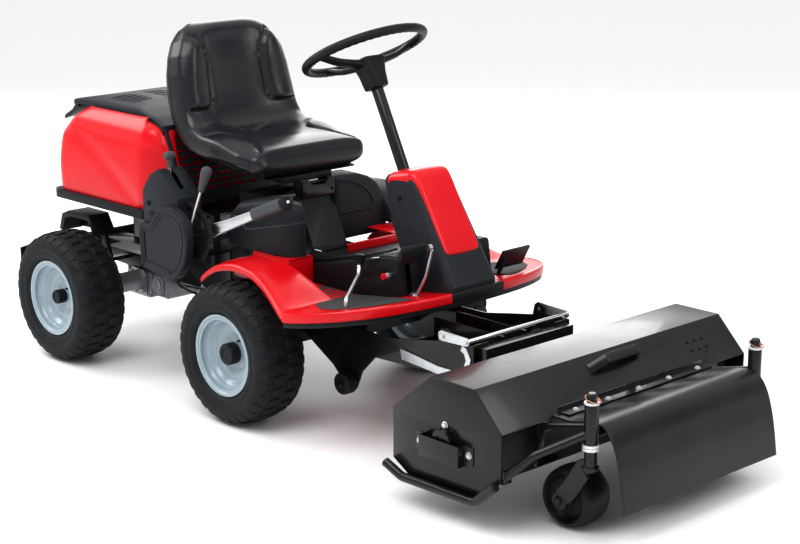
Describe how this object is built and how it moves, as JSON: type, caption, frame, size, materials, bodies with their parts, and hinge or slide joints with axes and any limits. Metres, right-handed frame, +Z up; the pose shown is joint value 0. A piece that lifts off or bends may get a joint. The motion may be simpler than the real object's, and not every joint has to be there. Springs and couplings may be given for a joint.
{
  "type": "lawn sweeper",
  "caption": "Ride-on lawn sweeper: articulated rear-engine carrier with seat, steering and pedals, and a caster-carried rotary brush housing with rubber flap at the front.",
  "frame": {"origin": "on the ground in the middle of the machine's length and width", "axes": "+X travel direction (towards the sweeper head), +Y the driver's left, +Z up"},
  "size_m": [2.489, 1.006, 1.118],
  "materials": {
    "red_paint": "gloss",
    "red_plastic": "gloss",
    "black_paint": "satin gloss",
    "frame_paint": "satin",
    "grey_plastic": "matte",
    "black_plastic": "matte",
    "seat_vinyl": "satin moulded vinyl",
    "tyre_rubber": "matte",
    "rubber": "gloss",
    "grip_rubber": "matte",
    "rim_paint": "gloss",
    "bright_steel": "satin",
    "zinc": "zinc plated",
    "chrome_bar": "polished",
    "cast_alloy": "as cast",
    "bristle": "matte bristle"
  },
  "bodies": {
    "front_frame": {"main_frame": "frame_paint", "front_axle": "frame_paint", "footplate": "red_paint", "center_tunnel": "black_plastic", "seat_post": "black_paint", "console_housing": "grey_plastic", "console_panel": "red_plastic", "steering_column": "black_paint", "right_side_cover": "black_plastic", "left_tank_cover": "black_plastic", "side_console": "grey_plastic", "side_console_cover": "grey_plastic", "lever_quadrant": "frame_paint", "hood_tray": "black_plastic", "engine": "cast_alloy"},
    "steering": {"steering_wheel": "black_plastic"},
    "hood": {"hood_shell": "red_plastic", "hood_top": "grey_plastic"},
    "seat": {"seat_cushion": "seat_vinyl", "seat_pan": "frame_paint"},
    "rear_carriage": {"rear_frame": "frame_paint", "transaxle": "cast_alloy", "rear_guards": "black_plastic"},
    "front_right_wheel": {"front_right_tyre": "tyre_rubber", "front_right_rim": "rim_paint"},
    "front_left_wheel": {"front_left_tyre": "tyre_rubber", "front_left_rim": "rim_paint"},
    "rear_right_wheel": {"rear_right_tyre": "tyre_rubber", "rear_right_rim": "rim_paint"},
    "rear_left_wheel": {"rear_left_tyre": "tyre_rubber", "rear_left_rim": "rim_paint"},
    "lift_lever": {"lift_lever_arm": "bright_steel", "lift_lever_grip": "grip_rubber"},
    "lift_button": {"lift_lever_button": "bright_steel"},
    "height_selector": {"height_lever": "black_plastic"},
    "throttle": {"throttle_lever": "black_plastic"},
    "forward_drive": {"forward_pedal": "black_plastic"},
    "reverse_drive": {"reverse_pedal": "bright_steel"},
    "brake": {"brake_pedal": "black_plastic"},
    "parking_lock": {"parking_button": "red_plastic"},
    "implement": {"carrier_frame": "black_paint", "lock_hooks": "zinc", "housing_shell": "black_paint", "side_plates": "black_paint", "skids": "black_paint", "bearing_covers": "black_paint", "caster_frame": "black_paint", "rubber_flap": "rubber", "flap_rail": "black_paint", "sweeper_bolts": "zinc", "carry_handle": "black_paint"},
    "latch": {"latch_handle": "chrome_bar"},
    "roller_right": {"right_roller": "black_plastic"},
    "roller_left": {"left_roller": "black_plastic"},
    "rotor": {"rotor_shaft": "black_paint", "rotor_brush": "bristle"},
    "caster_right": {"right_caster_fork": "black_paint"},
    "caster_left": {"left_caster_fork": "black_paint"},
    "caster_wheel_right": {"right_caster_wheel": "black_plastic"},
    "caster_wheel_left": {"left_caster_wheel": "black_plastic"}
  },
  "joints": [
    {"name": "carriage_steer", "type": "hinge", "parent": "front_frame", "child": "rear_carriage", "pos_m": [-0.6525, 0, 0.265], "axis": [0, 0, 1], "range_deg": [-20, 20]},
    {"name": "steering_turn", "type": "hinge", "parent": "front_frame", "child": "steering", "pos_m": [0.1815, 0, 0.711], "axis": [-0.4478, 0, 0.8942], "range_deg": [-260, 260]},
    {"name": "front_right_roll", "type": "hinge", "parent": "front_frame", "child": "front_right_wheel", "pos_m": [-0.1005, -0.366, 0.2035], "axis": [0, 1, 0], "continuous": true},
    {"name": "front_left_roll", "type": "hinge", "parent": "front_frame", "child": "front_left_wheel", "pos_m": [-0.1005, 0.366, 0.2035], "axis": [0, 1, 0], "continuous": true},
    {"name": "rear_right_roll", "type": "hinge", "parent": "rear_carriage", "child": "rear_right_wheel", "pos_m": [-0.9525, -0.366, 0.2035], "axis": [0, 1, 0], "continuous": true},
    {"name": "rear_left_roll", "type": "hinge", "parent": "rear_carriage", "child": "rear_left_wheel", "pos_m": [-0.9525, 0.366, 0.2035], "axis": [0, 1, 0], "continuous": true},
    {"name": "hood_tilt", "type": "hinge", "parent": "front_frame", "child": "hood", "pos_m": [-1.1245, 0, 0.5], "axis": [0, -1, 0], "range_deg": [0, 70]},
    {"name": "seat_tilt", "type": "hinge", "parent": "front_frame", "child": "seat", "pos_m": [-0.2085, 0, 0.618], "axis": [0, 1, 0], "range_deg": [0, 30]},
    {"name": "implement_lift", "type": "hinge", "parent": "front_frame", "child": "implement", "pos_m": [-0.0525, 0, 0.262], "axis": [0, -1, 0], "range_deg": [0, 5.5]},
    {"name": "lift_lever_swing", "type": "hinge", "parent": "front_frame", "child": "lift_lever", "pos_m": [-0.3625, -0.314, 0.48], "axis": [0, -1, 0], "range_deg": [0, 44]},
    {"name": "lift_button_press", "type": "slide", "parent": "lift_lever", "child": "lift_button", "axis": [-0.9272, 0, -0.3746], "range_m": [0, 0.006], "stiffness_N_per_m": 150, "springref_m": -0.003},
    {"name": "height_select", "type": "hinge", "parent": "front_frame", "child": "height_selector", "pos_m": [-0.3625, -0.348, 0.48], "axis": [0, 1, 0], "range_deg": [-20, 20]},
    {"name": "throttle_swing", "type": "hinge", "parent": "front_frame", "child": "throttle", "pos_m": [-0.4745, -0.318, 0.56], "axis": [0, 1, 0], "range_deg": [-15, 15]},
    {"name": "forward_press", "type": "hinge", "parent": "front_frame", "child": "forward_drive", "pos_m": [0.3605, -0.14, 0.39893], "axis": [0, 1, 0], "range_deg": [-12, 12], "stiffness_Nm_per_rad": 8},
    {"name": "reverse_press", "type": "hinge", "parent": "front_frame", "child": "reverse_drive", "pos_m": [0.3015, -0.33, 0.39025], "axis": [0, 1, 0], "range_deg": [-12, 12]},
    {"name": "brake_press", "type": "hinge", "parent": "front_frame", "child": "brake", "pos_m": [0.3655, 0.182, 0.39967], "axis": [0, 1, 0], "range_deg": [0, 20], "stiffness_Nm_per_rad": 8, "springref_deg": -8.59},
    {"name": "parking_press", "type": "slide", "parent": "front_frame", "child": "parking_lock", "axis": [0, 1, 0], "range_m": [0, 0.008], "stiffness_N_per_m": 150, "springref_m": -0.003},
    {"name": "latch_swing", "type": "hinge", "parent": "implement", "child": "latch", "pos_m": [0.5285, 0, 0.347], "axis": [0, -1, 0], "range_deg": [0, 75]},
    {"name": "right_roller_turn", "type": "hinge", "parent": "implement", "child": "roller_right", "pos_m": [0.1625, -0.2075, 0.135], "axis": [0, 1, 0], "continuous": true},
    {"name": "left_roller_turn", "type": "hinge", "parent": "implement", "child": "roller_left", "pos_m": [0.1625, 0.2075, 0.135], "axis": [0, 1, 0], "continuous": true},
    {"name": "rotor_spin", "type": "hinge", "parent": "implement", "child": "rotor", "pos_m": [0.8225, 0, 0.203], "axis": [0, 1, 0], "continuous": true},
    {"name": "right_caster_swivel", "type": "hinge", "parent": "implement", "child": "caster_right", "pos_m": [1.1505, -0.322, 0.28], "axis": [0, 0, 1], "range_deg": [-25, 60]},
    {"name": "left_caster_swivel", "type": "hinge", "parent": "implement", "child": "caster_left", "pos_m": [1.1505, 0.322, 0.28], "axis": [0, 0, 1], "range_deg": [-60, 25]},
    {"name": "right_caster_roll", "type": "hinge", "parent": "caster_right", "child": "caster_wheel_right", "pos_m": [1.0665, -0.272, 0.077], "axis": [0, 1, 0], "continuous": true},
    {"name": "left_caster_roll", "type": "hinge", "parent": "caster_left", "child": "caster_wheel_left", "pos_m": [1.0665, 0.272, 0.077], "axis": [0, 1, 0], "continuous": true}
  ],
  "couplings": [
    {"joint": "steering_turn", "follows": "carriage_steer", "ratio": -13},
    {"joint": "lift_lever_swing", "follows": "implement_lift", "ratio": 8},
    {"joint": "reverse_press", "follows": "forward_press", "ratio": -1}
  ]
}
